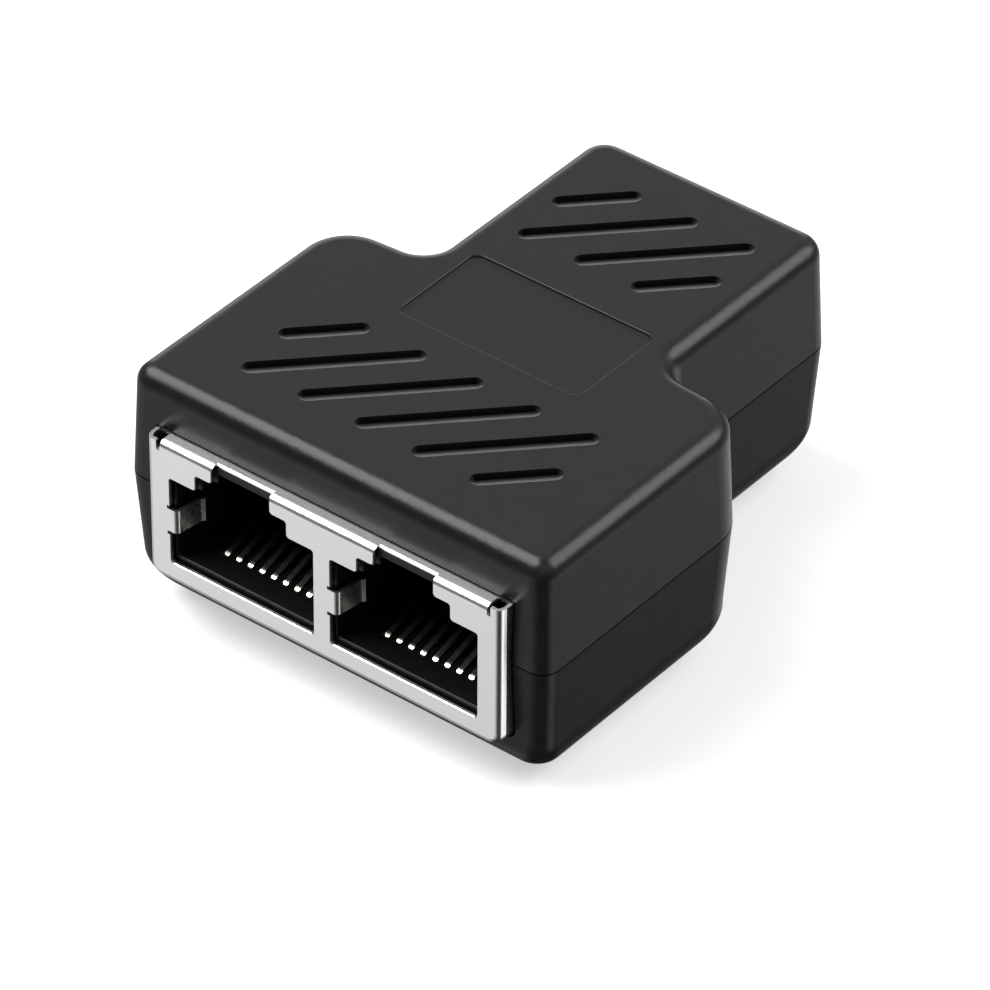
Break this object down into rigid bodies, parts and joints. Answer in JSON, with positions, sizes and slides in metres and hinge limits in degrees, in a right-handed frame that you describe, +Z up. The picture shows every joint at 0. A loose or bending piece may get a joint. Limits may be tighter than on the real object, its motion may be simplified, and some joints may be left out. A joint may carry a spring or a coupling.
{
  "type": "rj45 splitter adapter",
  "caption": "T-shaped black network adapter case with shielded modular sockets side by side at the wide end and one at the narrow end, slanted grip grooves on top.",
  "frame": {"origin": "bottom centre of the overall box, on the flat underside of the case", "axes": "+X across the two side-by-side ports, +Y from them to the single port, +Z up from the underside"},
  "size_m": [0.036, 0.0436, 0.0192],
  "materials": {
    "case": "fine satin moulding",
    "shield": "nickel plated, satin",
    "insert": "smooth moulding",
    "comb": "smooth moulding",
    "contact": "bright plated spring",
    "board": "green lacquer"
  },
  "bodies": {
    "root": {"top_shell": "case", "bottom_shell": "case", "front_shield": "shield", "rear_shield": "shield", "front_insert": "insert", "rear_insert": "insert", "comb_a": "comb", "comb_b": "comb", "comb_c": "comb", "circuit_board": "board", "contact_a1": "contact", "contact_a2": "contact", "contact_a3": "contact", "contact_a4": "contact", "contact_a5": "contact", "contact_a6": "contact", "contact_a7": "contact", "contact_a8": "contact", "contact_b1": "contact", "contact_b2": "contact", "contact_b3": "contact", "contact_b4": "contact", "contact_b5": "contact", "contact_b6": "contact", "contact_b7": "contact", "contact_b8": "contact", "contact_c1": "contact", "contact_c2": "contact", "contact_c3": "contact", "contact_c4": "contact", "contact_c5": "contact", "contact_c6": "contact", "contact_c7": "contact", "contact_c8": "contact"}
  },
  "joints": []
}
